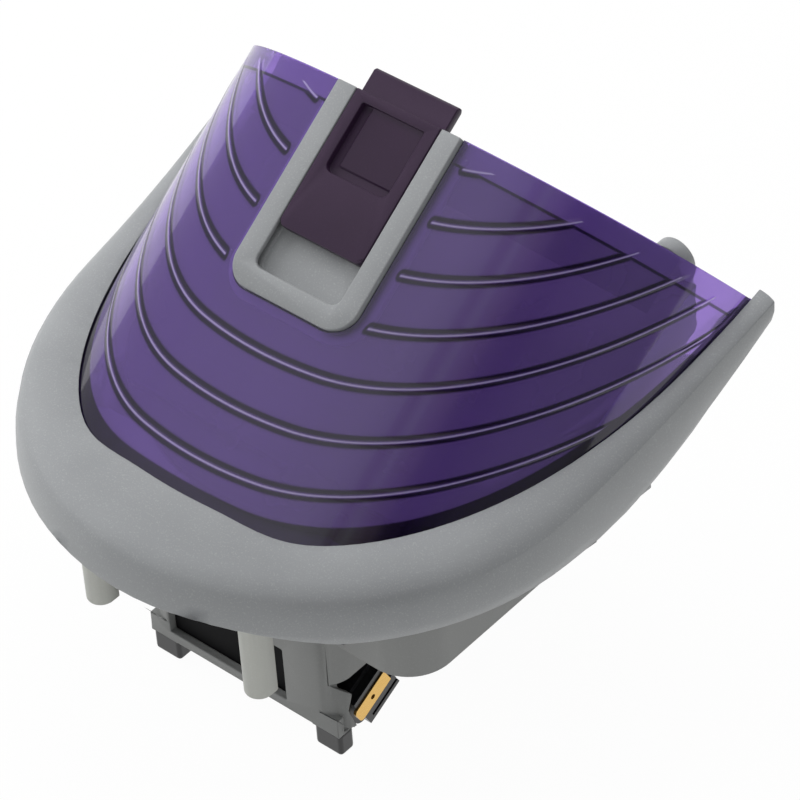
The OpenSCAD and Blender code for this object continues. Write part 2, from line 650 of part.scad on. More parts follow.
// Fan: casing, bracket, diffuser and impeller
module fan_casing() color(steel) translate([0, 0, casing_z]) rotate_extrude() {
    bend = 4;
    translate([casing_r - casing_wall, 0]) square([casing_wall, casing_h - bend]);
    translate([casing_r - bend, casing_h - bend]) intersection() {
        difference() {
            circle(bend, $fn = 64);
            circle(bend - casing_wall, $fn = 64);
        }
        square(bend + 1);
    }
    translate([eye_r - 3, casing_h - casing_wall]) square([casing_r - bend - eye_r + 3, casing_wall]);
    translate([eye_r - 3, casing_h - 3]) square([casing_wall, 3]);
}
module fan_bracket() color("#A9ABAD") difference() {
    union() {
        translate([0, 0, bracket_z]) cylinder(r = casing_r, h = bracket_thick);
        translate([0, 0, upper_bearing_z - 0.6]) cylinder(r = bearing_r + 2.2, h = bearing_h + 0.6);
    }
    translate([0, 0, upper_bearing_z]) cylinder(r = bearing_r + seat, h = bearing_h + over);
    translate([0, 0, bracket_z - 5]) cylinder(r = bearing_r - 3, h = 10);
    for (k = [0:5]) rotate([0, 0, 60 * k + 30]) translate([17.5, -4.5, bracket_z - over])
        cube([6, 9, bracket_thick + 2 * over]);
    at_can_screws() translate([0, 0, bracket_z - over]) cylinder(r = 1.3, h = 10, $fn = 24);
}
module vane(r0, r1, sweep, t, h) {
    n = 8;
    function at_r(i, side) = let (u = i / n, r = r0 + (r1 - r0) * u, a = sweep * u * u, d = side * t / 2)
        [r * cos(a) - d * sin(a + 30), r * sin(a) + d * cos(a + 30)];
    linear_extrude(h) polygon(concat([for (i = [0:n]) at_r(i, 1)], [for (i = [n:-1:0]) at_r(i, -1)]));
}
guide_sweep = 38;
module diffuser() color("#3A3A3D") translate([0, 0, casing_z]) difference() {
    union() {
        translate([0, 0, guide_h - 0.2]) cylinder(r = casing_r - 5, h = guide_thick - 0.2);
        for (k = [0:guide_count - 1]) rotate([0, 0, 360 * k / guide_count])
            vane(bearing_r + 4.5, casing_r - casing_wall - 0.5, guide_sweep, guide_thick, guide_h);
    }
    translate([0, 0, -over]) cylinder(r = bearing_r + 3, h = 2 * guide_h + over);
    at_can_screws() translate([0, 0, -over]) cylinder(r = 3, h = 2 * over + 0.8, $fn = 24);
}
module impeller() color("#C3C6C9") translate([0, 0, impeller_z]) difference() {
    union() {
        cylinder(r = impeller_r, h = sheet);
        translate([0, 0, sheet + vane_h]) difference() {
            cylinder(r = impeller_r, h = sheet);
            translate([0, 0, -over]) cylinder(r = eye_r - 4, h = sheet + 2 * over);
        }
        for (k = [0:vane_count - 1]) rotate([0, 0, 360 * k / vane_count])
            translate([0, 0, sheet / 2]) vane(11, impeller_r - 0.8, 62, sheet, vane_h + sheet);
        cylinder(r = 6.5, h = sheet + 3.5);
    }
    translate([0, 0, -over]) cylinder(r = shaft_r + seat, h = 10, $fn = 64);
}
nut_z = impeller_z + sheet + 3.5;
module impeller_nut() color(steel) translate([0, 0, nut_z + seat]) difference() {
    cylinder(r = 5.8, h = 4, $fn = 6);
    translate([0, 0, -over]) cylinder(r = shaft_r + seat, h = 10, $fn = 64);
}

// Rotor and its bearings
shaft_top = nut_z + 6;
shaft_foot = lower_bearing_z - 0.5;
module shaft() color("#CFD2D5") {
    translate([0, 0, shaft_foot]) cylinder(r = shaft_r, h = shaft_top - shaft_foot, $fn = 64);
    translate([0, 0, upper_bearing_z + bearing_h + 0.1])
        cylinder(r = shaft_r + 2, h = impeller_z - upper_bearing_z - bearing_h - 0.15, $fn = 64);
}
module bearing(z) translate([0, 0, z]) rotate_extrude() difference() {
    translate([shaft_r + run, 0]) square([bearing_r - shaft_r - run, bearing_h]);
    for (h = [-0.01, bearing_h - 0.59]) translate([shaft_r + 1.6, h]) square([bearing_r - shaft_r - 3, 0.6]);
}
module upper_bearing() color(steel) bearing(upper_bearing_z + 0.05);
module lower_bearing() color(steel) bearing(lower_bearing_z);
module armature_core() color("#8B8E91") translate([0, 0, stack_z]) difference() {
    linear_extrude(stack_len) difference() {
        circle(armature_r);
        for (k = [0:slot_count - 1]) rotate(360 * k / slot_count) {
            translate([armature_r * 0.78, 0]) circle(armature_r * 0.125, $fn = 32);
            translate([armature_r * 0.8, -0.5]) square([armature_r, 1]);
        }
    }
    translate([0, 0, -over]) cylinder(r = shaft_r + seat, h = stack_len + 2 * over, $fn = 64);
}
module armature_winding() color("#B5703A") translate([0, 0, stack_z]) {
    inner = shaft_r + 1.5;
    outer = armature_r * 0.92;
    for (z = [-overhang, stack_len + seat]) translate([0, 0, z]) rotate_extrude() {
        translate([inner, 0]) square([outer - inner - 1, overhang - seat]);
        translate([outer - 1.1, overhang / 2]) circle(overhang / 2 - 0.1, $fn = 32);
    }
    for (k = [0:slot_count - 1]) rotate([0, 0, 360 * k / slot_count])
        translate([armature_r * 0.78, 0, -seat - 0.1])
            cylinder(r = armature_r * 0.125 - 0.1, h = stack_len + 2 * seat + 0.2, $fn = 32);
}
module commutator() color("#B87545") translate([0, 0, commutator_z]) difference() {
    union() {
        cylinder(r = commutator_r, h = commutator_h);
        cylinder(r = commutator_r - 4, h = stack_z - overhang - commutator_z - 0.2);
    }
    for (k = [0:bar_count - 1]) rotate([0, 0, 360 * k / bar_count])
        translate([commutator_r - 0.7, -0.2, -over]) cube([2, 0.4, commutator_h + 2 * over]);
    translate([0, 0, -over]) cylinder(r = shaft_r + seat, h = 20, $fn = 64);
}

// Field: an iron ring with two poles, and a coil round each pole
ring_in = can_r - can_wall - 3.6;
pole_in = armature_r + air_gap;
shoe_out = pole_in + 2;
stem_half = 7;
module pole_sector(r, half_angle) polygon([[0, 0], [2 * r * cos(half_angle), -2 * r * sin(half_angle)],
    [2 * r * cos(half_angle), 2 * r * sin(half_angle)]]);
module field_core() color("#8B8E91") translate([0, 0, stack_z]) linear_extrude(stack_len) difference() {
    union() {
        difference() {
            circle(can_r - can_wall - seat);
            circle(ring_in);
        }
        for (s = [0, 180]) rotate(s) {
            translate([pole_in, -stem_half]) square([ring_in - pole_in + 1, 2 * stem_half]);
            intersection() {
                circle(shoe_out);
                pole_sector(shoe_out, 58);
            }
        }
    }
    circle(pole_in);
}
module field_coils() color("#B5703A") for (s = [0, 180]) rotate([0, 0, s]) difference() {
    translate([0, 0, stack_z - overhang]) linear_extrude(stack_len + 2 * overhang) intersection() {
        difference() {
            circle(ring_in - 0.2);
            circle(shoe_out + 0.2);
        }
        pole_sector(ring_in, 52);
    }
    translate([0, -stem_half - 0.2, stack_z - 0.1])
        cube([ring_in + over, 2 * stem_half + 0.4, stack_len + 0.2]);
}
module at_can_screws() for (a = [0:90:270]) rotate([0, 0, a]) translate([can_r - 2.2, 0, 0]) children();
module motor_can() color("#9A9DA0") difference() {
    translate([0, 0, can_z]) cylinder(r = can_r, h = bracket_z - can_z);
    translate([0, 0, can_z - over]) cylinder(r = can_r - can_wall, h = bracket_z - can_z - 0.2);
    translate([0, 0, bracket_z - 5]) cylinder(r = can_r - 5, h = 10);
    at_can_screws() translate([0, 0, bracket_z - 3]) cylinder(r = 1.15, h = 10, $fn = 24);
    for (a = [45:90:315]) rotate([0, 0, a]) translate([can_r - 5, -4, can_z + 16.2]) cube([8, 8, 2.6]);
}
module can_screws() color(steel) at_can_screws() {
    translate([0, 0, casing_z + seat]) cylinder(r = 2.2, h = 0.6, $fn = 32);
    translate([0, 0, bracket_z - 1.2]) cylinder(r = 1.1, h = 3.5, $fn = 24);
}

// Brush gear under the can
holder_out = 33;
holder_in = commutator_r + 1.5;
holder_half = brush_w / 2 + 1.2;
module brush_bracket() color(black) difference() {
    union() {
        translate([0, 0, bracket_floor_z]) cylinder(r = can_r, h = bracket_plate);
        translate([0, 0, lower_bearing_z - 1]) cylinder(r = bearing_r + 2, h = bearing_h);
        difference() {
            translate([0, 0, bracket_floor_z]) cylinder(r = can_r, h = can_z - bracket_floor_z);
            translate([0, 0, bracket_floor_z - over]) cylinder(r = can_r - 2.5, h = can_z);
        }
        for (s = [-1, 1]) translate([-holder_half - 1.5, s > 0 ? can_r - 10 : -can_r - 4, bracket_floor_z])
            cube([2 * holder_half + 3, 14, brush_z - holder_half - 2 * seat - bracket_floor_z]);
        for (x = [-12, 12], y = [-19, 19]) translate([x, y, plate_thick + 0.05])
            cylinder(r = 2.5, h = bracket_floor_z - plate_thick, $fn = 32);
    }
    translate([0, 0, lower_bearing_z - seat]) cylinder(r = bearing_r + seat, h = bearing_h + over + 10);
    translate([0, 0, -over]) cylinder(r = bearing_r - 3, h = 20);
    for (a = [0:60:300]) rotate([0, 0, a + 30]) translate([14, -3.5, bracket_floor_z - over])
        cube([8, 7, bracket_plate + 2 * over]);
    for (s = [-1, 1]) translate([-holder_half - 0.1, s > 0 ? holder_in : -holder_out - 5,
        brush_z - holder_half - 0.1]) cube([2 * holder_half + 0.2, holder_out + 5 - holder_in, 30]);
    for (s = [-1, 1]) translate([s > 0 ? can_r - 4 : -can_r - 1, -8, brush_z - 3]) cube([5, 16, 7]);
}
module brush_holder(s) difference() {
    translate([-holder_half, s > 0 ? holder_in : -holder_out, brush_z - holder_half])
        cube([2 * holder_half, holder_out - holder_in, 2 * holder_half]);
    translate([-brush_w / 2 - 0.1, s > 0 ? holder_in - over : -holder_out + 1, brush_z - brush_w / 2 - 0.1])
        cube([brush_w + 0.2, holder_out - holder_in, brush_w + 0.2]);
}
module brush_holder_front() color(brass) brush_holder(-1);
module brush_holder_rear() color(brass) brush_holder(1);
brush_in = commutator_r + 0.15;
module carbon_brush(s)
    translate([-brush_w / 2, s > 0 ? brush_in : -brush_in - brush_len, brush_z - brush_w / 2])
        cube([brush_w, brush_len, brush_w]);
module carbon_brush_front() color("#333436") carbon_brush(-1);
module carbon_brush_rear() color("#333436") carbon_brush(1);
module brush_springs() color(steel) for (a = [0, 180]) rotate([0, 0, a])
    translate([0, brush_in + brush_len + seat, brush_z]) rotate([-90, 0, 0])
        wound(brush_spring_d, brush_spring_wire, brush_spring_turns,
            holder_out - 1 - brush_in - brush_len - 2 * seat, steps = 12);

// Terminals: a carrier behind each notch of the pod, with a pad in the notch and a brass blade on the pad.
// In a carrier's own frame x runs up along the blade, y square to it and z outward.
carrier_gap = 0.3;              // between a carrier's plate and the pod's inner faces
carrier_in = pod_half - case_wall - carrier_gap - carrier_thick;
blade_face = pod_half + 0.2;    // outer face of a blade
pad_start = 7.5 - pad_len;      // ends of the pad, along the blade and across it
pad_low = 4.4 - pad_w;
module in_blade_frame(s) translate([0, -blade_y, blade_z]) rotate([90, 0, 90]) rotate([0, 0, blade_tilt])
    mirror([0, 0, s > 0 ? 0 : 1]) children();
module carrier_plate() translate([0, 0, carrier_in]) linear_extrude(carrier_thick) {
    corner = 3;
    ahead = pad_start - 2.2;
    below = pad_low - 0.4;
    translate([ahead, below + corner]) square([pad_len + 6.7, pad_w - 1]);
    translate([ahead + corner, below]) square([pad_len + 3.7, pad_w + 2]);
    translate([ahead + corner, below + corner]) circle(corner, $fn = 32);
}
module terminal_carrier(s) difference() {
    union() {
        intersection() {
            in_blade_frame(s) carrier_plate();
            translate([0, 0, -reach]) linear_extrude(2 * reach) pod_outline(-case_wall - carrier_gap);
        }
        in_blade_frame(s) translate([pad_start, pad_low, carrier_in])
            cube([pad_len, pad_w, blade_face - blade_t / 2 - carrier_in]);
    }
    in_blade_frame(s) {
        translate([-3, pad_low + 1.2, blade_face - blade_t - 0.4]) cube([12, 1, 3]);
        translate([pad_start - 0.2, -blade_w / 2 - 0.1, blade_face - blade_t])
            cube([pad_len + 0.7, blade_w + 0.2, 3]);
    }
}
module terminal_carrier_right() color(black) terminal_carrier(1);
module terminal_carrier_left() color(black) terminal_carrier(-1);
module blade_terminal(s) in_blade_frame(s) translate([0, 0, blade_face - blade_t]) difference() {
    linear_extrude(blade_t) {
        translate([1.2 - blade_len / 2, -blade_w / 2]) square([blade_len - 1.2, blade_w]);
        translate([-blade_len / 2, 1.2 - blade_w / 2]) square([2, blade_w - 2.4]);
        for (t = [-1, 1]) translate([1.2 - blade_len / 2, t * (blade_w / 2 - 1.2)]) circle(1.2, $fn = 32);
    }
    translate([0, 0, -over]) cylinder(r = 0.7, h = 4, $fn = 32);
}
module blade_terminal_right() color(brass) blade_terminal(1);
module blade_terminal_left() color(brass) blade_terminal(-1);

module housing_screws() color(steel) at_screws() {
    translate([0, 0, tray_top - flange_thick - head_h - seat]) difference() {
        cylinder(r = head_r, h = head_h, $fn = 48);
        for (a = [0, 90]) rotate([0, 0, a]) translate([0.8 - head_r, -0.35, -over])
            cube([2 * (head_r - 0.8), 0.7, over + 0.4 * head_h]);
    }
    translate([0, 0, tray_top - flange_thick - 0.1])
        cylinder(r = screw_r - seat, h = flange_thick + screw_bite, $fn = 32);
}

hood();
latch_frame();
latch_slider();
latch_spring();
rim();
duct_cover();
duct_floor();
intake_seal();
motor_housing();
base_plate();
mount_ring();
fan_casing();
fan_bracket();
diffuser();
impeller();
impeller_nut();
shaft();
upper_bearing();
lower_bearing();
armature_core();
armature_winding();
commutator();
field_core();
field_coils();
motor_can();
brush_bracket();
brush_holder_front();
brush_holder_rear();
carbon_brush_front();
carbon_brush_rear();
brush_springs();
terminal_carrier_right();
terminal_carrier_left();
blade_terminal_right();
blade_terminal_left();
housing_screws();
can_screws();
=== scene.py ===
# %% [markdown]
# # Motor unit of a vacuum cleaner
# A tinted hood with a slide latch sits on a horseshoe rim, and a grey housing with the motor hangs below it.
# The CAD frame gives every part's place and size. This script dresses it: smooth moulded shells where the eye
# looks first, and a finish for every part. The photograph was fitted with a camera, which comes first.

# %% Load the frame
import json
import math

import bmesh
import bpy
import numpy as np
from mathutils import Matrix, Vector


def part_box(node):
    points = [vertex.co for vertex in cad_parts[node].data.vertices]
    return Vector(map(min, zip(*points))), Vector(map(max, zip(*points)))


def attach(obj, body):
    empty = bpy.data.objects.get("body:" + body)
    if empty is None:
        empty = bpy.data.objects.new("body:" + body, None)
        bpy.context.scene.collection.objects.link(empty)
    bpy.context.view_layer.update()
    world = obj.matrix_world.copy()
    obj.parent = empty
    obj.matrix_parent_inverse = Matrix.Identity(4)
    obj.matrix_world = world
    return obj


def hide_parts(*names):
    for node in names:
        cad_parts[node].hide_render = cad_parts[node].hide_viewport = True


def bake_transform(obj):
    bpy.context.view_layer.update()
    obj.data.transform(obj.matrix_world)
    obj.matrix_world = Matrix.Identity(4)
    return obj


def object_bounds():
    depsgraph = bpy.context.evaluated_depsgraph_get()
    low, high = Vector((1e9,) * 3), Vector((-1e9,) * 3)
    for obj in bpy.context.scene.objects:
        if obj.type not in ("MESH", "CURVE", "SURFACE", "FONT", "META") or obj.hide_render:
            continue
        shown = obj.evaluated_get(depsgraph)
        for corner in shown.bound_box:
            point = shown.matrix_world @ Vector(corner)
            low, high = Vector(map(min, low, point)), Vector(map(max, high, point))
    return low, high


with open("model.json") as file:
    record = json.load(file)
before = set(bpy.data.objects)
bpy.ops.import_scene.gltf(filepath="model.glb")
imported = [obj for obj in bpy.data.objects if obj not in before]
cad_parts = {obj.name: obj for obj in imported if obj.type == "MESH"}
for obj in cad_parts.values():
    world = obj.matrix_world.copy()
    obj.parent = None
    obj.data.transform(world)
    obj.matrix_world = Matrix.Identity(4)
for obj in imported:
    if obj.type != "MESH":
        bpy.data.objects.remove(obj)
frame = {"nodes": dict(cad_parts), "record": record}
cad_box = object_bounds()
nodes = frame["nodes"]
MM = 0.001
print(len(nodes), "CAD nodes, box", cad_box)

# %% [markdown]
# ## The camera
# The view was worked out from the rib planes, the pins and the rim's edges: it looks down from the front
# right, a long lens far away. Its place, its two angles and its roll are all that Blender needs.

# %% Camera
CAMERA_AT = Vector((0.5428, -0.5569, 0.7546))
AZIMUTH, ELEVATION, ROLL = (math.radians(a) for a in (43.396, 41.823, -4.090))
LENS = 197.46

back = Vector((math.sin(AZIMUTH) * math.cos(ELEVATION), -math.cos(AZIMUTH) * math.cos(ELEVATION),
               math.sin(ELEVATION)))
level = Vector((math.cos(AZIMUTH), math.sin(AZIMUTH), 0))
upright = back.cross(level)
right = math.cos(ROLL) * level + math.sin(ROLL) * upright
up = math.cos(ROLL) * upright - math.sin(ROLL) * level

camera = bpy.data.objects.new("camera", bpy.data.cameras.new("camera"))
camera.data.lens, camera.data.sensor_width = LENS, 36
camera.data.clip_end = 10
camera.matrix_world = Matrix.Translation(CAMERA_AT) @ Matrix((right, up, back)).transposed().to_4x4()
bpy.context.scene.collection.objects.link(camera)
bpy.context.scene.camera = camera
bpy.context.scene.view_settings.view_transform = "Standard"
print("camera at", tuple(round(v, 3) for v in camera.location))

# %% [markdown]
# ## Helpers for materials
# Colours are written as sRGB hex values, the way a picture shows them, and one function turns them to the
# linear values that a shader works with. One more function adds a node with its settings and its links.

# %% Colour and node helpers
def srgb(colour):
    """The linear RGBA of an sRGB hex colour."""
    parts = [int(colour[i:i + 2], 16) / 255 for i in (1, 3, 5)]
    return (*[c / 12.92 if c <= 0.04045 else ((c + 0.055) / 1.055) ** 2.4 for c in parts], 1)


def add(tree, kind, inputs=None, **settings):
    """A node of that kind. An input is a value, or the socket that feeds it."""
    node = tree.nodes.new(kind)
    for name, value in settings.items():
        setattr(node, name, value)
    for name, value in (inputs or {}).items():
        if isinstance(value, bpy.types.NodeSocket):
            tree.links.new(value, node.inputs[name])
        else:
            node.inputs[name].default_value = value
    return node


def start_finish(name, **values):
    """A material with one Principled shader, and its tree."""
    material = bpy.data.materials.new(name)
    material.use_nodes = True
    tree = material.node_tree
    shader = tree.nodes["Principled BSDF"]
    for key, value in values.items():
        shader.inputs[key.replace("_", " ")].default_value = value
    return material, tree, shader


print("mid grey #808080 is", round(srgb("#808080")[0], 3), "linear")

# %% [markdown]
# ## Floor and light
# The studio is a white sweep with soft light from all around. The floor is a pale plane that the camera sees
# nearly white, with a faint shadow left on it. The world is a light tent: even for matt surfaces, while what
# shines sees a white wall on the left, a dark one in the gap beside it and a dim room on the right. That is
# how the hood's gloss is bright on one flank and ends in a dark trough with warm streaks on the other.

# %% Floor
FLOOR_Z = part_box("motor_housing")[0].z
bpy.ops.mesh.primitive_plane_add(size=6, location=(0, 0, FLOOR_Z))
floor = bpy.context.object
floor.name = "floor"
paper, tree, shader = start_finish("white_paper", Roughness=0.9)
shader.inputs["Base Color"].default_value = srgb("#F2F2F0")
rays = add(tree, "ShaderNodeLightPath")
seen = add(tree, "ShaderNodeMath", {0: rays.outputs["Is Camera Ray"], 1: rays.outputs["Is Glossy Ray"]},
           operation="MAXIMUM")
seen = add(tree, "ShaderNodeMath", {0: seen.outputs[0], 1: rays.outputs["Is Transmission Ray"]},
           operation="MAXIMUM")
share = add(tree, "ShaderNodeMath", {0: seen.outputs[0], 1: 0.97}, operation="MULTIPLY")
white = add(tree, "ShaderNodeEmission", {"Color": (1, 1, 1, 1), "Strength": 1.0})
mixed = add(tree, "ShaderNodeMixShader", {0: share.outputs[0], 1: shader.outputs[0], 2: white.outputs[0]})
tree.links.new(mixed.outputs[0], tree.nodes["Material Output"].inputs["Surface"])
floor.data.materials.append(paper)
print("floor at z", FLOOR_Z)

# %% World and lamps
world = bpy.data.worlds.new("light_tent")
bpy.context.scene.world = world
world.use_nodes = True
tree = world.node_tree
tree.nodes.clear()
rays = add(tree, "ShaderNodeLightPath")
where = add(tree, "ShaderNodeTexCoord")
axes = add(tree, "ShaderNodeSeparateXYZ", {0: where.outputs["Generated"]})
WHITE, WARM = (1, 1, 1), (1, 0.8, 0.88)
WALL_REFLECTION = ((-1.0, 0.45, WHITE), (-0.75, 0.68, WHITE), (-0.5, 0.85, WHITE), (0.1, 0.9, WHITE),
                   (0.30, 0.7, WHITE), (0.36, 0.4, WARM), (0.42, 0.62, WHITE), (0.50, 0.35, WARM),
                   (0.60, 0.08, WARM), (0.70, 0.0, WHITE), (0.82, 0.10, WHITE), (1.0, 0.25, WHITE))
streaks = add(tree, "ShaderNodeMapping", {"Vector": where.outputs["Generated"], "Scale": (26, 1.5, 1.5)})
streaks = add(tree, "ShaderNodeTexNoise", {"Vector": streaks.outputs[0], "Scale": 1.0, "Detail": 3})
shift = add(tree, "ShaderNodeMath", {0: streaks.outputs[0], 1: 0.16, 2: -0.08}, operation="MULTIPLY_ADD")
toward = add(tree, "ShaderNodeMath", {0: axes.outputs["X"], 1: shift.outputs[0]}, operation="ADD")
place = add(tree, "ShaderNodeMapRange", {"Value": toward.outputs[0], "From Min": -1.0, "From Max": 1.0})
side = add(tree, "ShaderNodeValToRGB", {0: place.outputs[0]})
spots = side.color_ramp.elements
spots.remove(spots[1])
for x, brightness, colour in WALL_REFLECTION:
    spot = spots[0] if x == -1 else spots.new((x + 1) / 2)
    spot.color = (*[brightness * part for part in colour], 1)
tent = add(tree, "ShaderNodeBackground", {"Color": (0.98, 0.99, 1, 1), "Strength": 0.5})
gloss = add(tree, "ShaderNodeBackground", {"Color": side.outputs[0], "Strength": 1.0})
clear = add(tree, "ShaderNodeBackground", {"Color": (1, 1, 1, 1), "Strength": 1.0})
sharp = add(tree, "ShaderNodeMath", {0: rays.outputs["Is Glossy Ray"], 1: rays.outputs["Is Transmission Ray"]},
            operation="MAXIMUM")
shiny = add(tree, "ShaderNodeMixShader", {0: sharp.outputs[0], 1: tent.outputs[0], 2: gloss.outputs[0]})
whole = add(tree, "ShaderNodeMixShader", {0: rays.outputs["Is Camera Ray"], 1: shiny.outputs[0],
                                          2: clear.outputs[0]})
out = add(tree, "ShaderNodeOutputWorld", {"Surface": whole.outputs[0]})


def lamp(name, at, size, watts, colour="#FFFFFF"):
    """A square soft box that looks at the middle of the object, and that no gloss shows."""
    data = bpy.data.lights.new(name, "AREA")
    data.size, data.energy, data.color = size, watts, srgb(colour)[:3]
    box = bpy.data.objects.new(name, data)
    box.location = at
    box.rotation_euler = (Vector((0, 0, 0.07)) - Vector(at)).to_track_quat("-Z", "Y").to_euler()
    box.visible_glossy = box.visible_transmission = False
    bpy.context.scene.collection.objects.link(box)
    return box


lamps = [lamp("box_left", (-1.3, -0.1, 0.7), 0.9, 15),
         lamp("box_top", (-0.3, 0.5, 1.5), 1.0, 8)]
print(len(lamps), "lamps and a light tent")

# %% [markdown]
# ## Plastics
# The rim and the latch frame are silver-grey ABS with fine metallic flakes moulded in. The slide is aubergine
# ABS with a fine spark-eroded grain, and the housing a plainer grey. A flake is about 0.15 mm, too fine for
# this view, so it is drawn at 0.4 mm.

# %% Silver-grey ABS
def grain(tree, size_mm, detail=2, **settings):
    """Noise whose blotches are that many millimetres wide, from the object's own coordinates."""
    where = add(tree, "ShaderNodeTexCoord")
    return add(tree, "ShaderNodeTexNoise", {"Vector": where.outputs["Object"], "Scale": 1 / (size_mm * MM),
                                            "Detail": detail}, **settings)


def moulded_plastic(name, colour, pale, roughness, fleck_mm, fleck_share, bump_mm):
    """A pigmented plastic: flecks of the pale colour, cloudy roughness and the grain of the tool."""
    material, tree, shader = start_finish(name, Roughness=roughness, IOR=1.53)
    flecks = grain(tree, fleck_mm)
    picked = add(tree, "ShaderNodeMapRange", {"Value": flecks.outputs[0], "From Min": 0.56, "From Max": 0.72,
                                              "To Min": 0.0, "To Max": fleck_share})
    cloud = grain(tree, 18, 3)
    tone = add(tree, "ShaderNodeMapRange", {"Value": cloud.outputs[0], "From Min": 0.3, "From Max": 0.7,
                                            "To Min": 0.0, "To Max": 0.12})
    amount = add(tree, "ShaderNodeMath", {0: picked.outputs[0], 1: tone.outputs[0]}, operation="ADD")
    mix = add(tree, "ShaderNodeMix", {"Factor": amount.outputs[0], "A": srgb(colour), "B": srgb(pale)},
              data_type="RGBA")
    tree.links.new(mix.outputs["Result"], shader.inputs["Base Color"])
    gloss = add(tree, "ShaderNodeMapRange", {"Value": cloud.outputs[0], "From Min": 0.3, "From Max": 0.7,
                                             "To Min": roughness - 0.05, "To Max": roughness + 0.05})
    tree.links.new(gloss.outputs[0], shader.inputs["Roughness"])
    fine = grain(tree, 0.35, 1)
    bump = add(tree, "ShaderNodeBump", {"Strength": 0.5, "Distance": bump_mm * MM, "Height": fine.outputs[0]})
    tree.links.new(bump.outputs[0], shader.inputs["Normal"])
    return material


silver_abs = moulded_plastic("silver_grey_abs", "#8E9092", "#B9BBBC", 0.42, 0.4, 0.3, 0.01)
pin_abs = moulded_plastic("pale_grey_abs", "#B3B4AE", "#C9CAC6", 0.5, 0.4, 0.2, 0.01)
# Painted light: near white for the duct cover's side walls, standing in for bright light seen through the hood.
painted_light_side = moulded_plastic("duct_side_painted_light", "#C2C0C8", "#D2D1D6", 0.5, 0.5, 0.2, 0.003)
aubergine_abs = moulded_plastic("aubergine_abs", "#2E1B33", "#4A3552", 0.36, 0.35, 0.2, 0.004)
housing_abs = moulded_plastic("mid_grey_plastic", "#7E7F7E", "#939593", 0.5, 0.5, 0.25, 0.01)
black_abs = moulded_plastic("black_plastic", "#161618", "#2A2A2D", 0.3, 0.5, 0.2, 0.003)
# Painted shade: a matt, hardly shiny black for the sheet behind the housing's window.
window_shade_black = moulded_plastic("matt_black_shade_sheet", "#08080A", "#131315", 0.8, 0.6, 0.1, 0.003)
rubber = moulded_plastic("moulded_rubber", "#232324", "#333335", 0.75, 0.8, 0.3, 0.02)
for finish, level in ((window_shade_black, 0.15), (aubergine_abs, 0.35)):
    finish.node_tree.nodes["Principled BSDF"].inputs["Specular IOR Level"].default_value = level
print("eight moulded finishes")

# %% [markdown]
# ## Metals
# The motor's parts hide below the hood, yet each has its own metal: zinc-plated sheet, ground shafts, die-cast
# aluminium, stacked laminations, enamelled wire, turned copper and rolled brass. A metal keeps the default IOR,
# and its colour is the reflection itself.

# %% Metals
def metal(name, colour, dark, roughness, stretch=(1, 1, 1), size_mm=1.0, bump_mm=0.0):
    """A metal whose noise is stretched along the direction in which it was worked."""
    material, tree, shader = start_finish(name, Metallic=1.0, Roughness=roughness)
    where = add(tree, "ShaderNodeTexCoord")
    along = add(tree, "ShaderNodeMapping", {"Vector": where.outputs["Object"], "Scale": stretch})
    marks = add(tree, "ShaderNodeTexNoise", {"Vector": along.outputs[0], "Scale": 1 / (size_mm * MM),
                                             "Detail": 3})
    mix = add(tree, "ShaderNodeMix", {"Factor": marks.outputs[0], "A": srgb(dark), "B": srgb(colour)},
              data_type="RGBA")
    rough = add(tree, "ShaderNodeMapRange", {"Value": marks.outputs[0], "From Min": 0.3, "From Max": 0.7,
                                             "To Min": roughness - 0.08, "To Max": roughness + 0.08})
    tree.links.new(mix.outputs["Result"], shader.inputs["Base Color"])
    tree.links.new(rough.outputs[0], shader.inputs["Roughness"])
    if bump_mm:
        bump = add(tree, "ShaderNodeBump", {"Strength": 0.6, "Distance": bump_mm * MM,
                                            "Height": marks.outputs[0]})
        tree.links.new(bump.outputs[0], shader.inputs["Normal"])
    return material


zinc = metal("plated_steel", "#C9CCD0", "#A9ADB2", 0.32, size_mm=4)
ground = metal("ground_steel", "#D5D7DA", "#BABDC1", 0.2, (1, 1, 12), 0.8, 0.003)
spring_wire = metal("spring_steel", "#B9BBBE", "#8E9195", 0.3, size_mm=0.6)
cast = metal("cast_aluminium", "#BFC2C6", "#9A9DA2", 0.45, size_mm=0.7, bump_mm=0.03)
sheet = metal("sheet_aluminium", "#D9DBDE", "#BFC2C6", 0.28, (1, 8, 1), 1.5)
laminations = metal("lamination_steel", "#8C8F93", "#5F6266", 0.42, (0.05, 0.05, 1), 0.5, 0.05)
copper_wire = metal("enamelled_copper", "#B8622F", "#7C3716", 0.3, (0.2, 0.2, 1), 0.6, 0.12)
turned_copper = metal("commutator_copper", "#C27B4B", "#955328", 0.25, (0.1, 0.1, 1), 0.3, 0.006)
brass = metal("rolled_brass", "#E6BE72", "#D2A654", 0.28, (1, 1, 9), 4)
carbon = moulded_plastic("pressed_carbon", "#2A2B2D", "#434547", 0.6, 0.6, 0.3, 0.02)
print("nine metals and carbon")

# %% [markdown]
# ## Copies with rounded edges
# A CAD part has knife edges, while a moulded one catches light along a small radius. `moulded` copies a node's
# mesh, welds it, rounds its edges with a bevel and smooths the shading, and then stands for the node.

# %% Rounded copies
def link_piece(name, mesh, material, body, replaced=()):
    """An object for that mesh, with its finish and its body; the CAD nodes that it stands for are hidden."""
    piece = bpy.data.objects.new(name, mesh)
    bpy.context.scene.collection.objects.link(piece)
    if material:
        mesh.materials.clear()
        mesh.materials.append(material)
    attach(piece, body)
    if replaced:
        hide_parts(*replaced)
    return piece


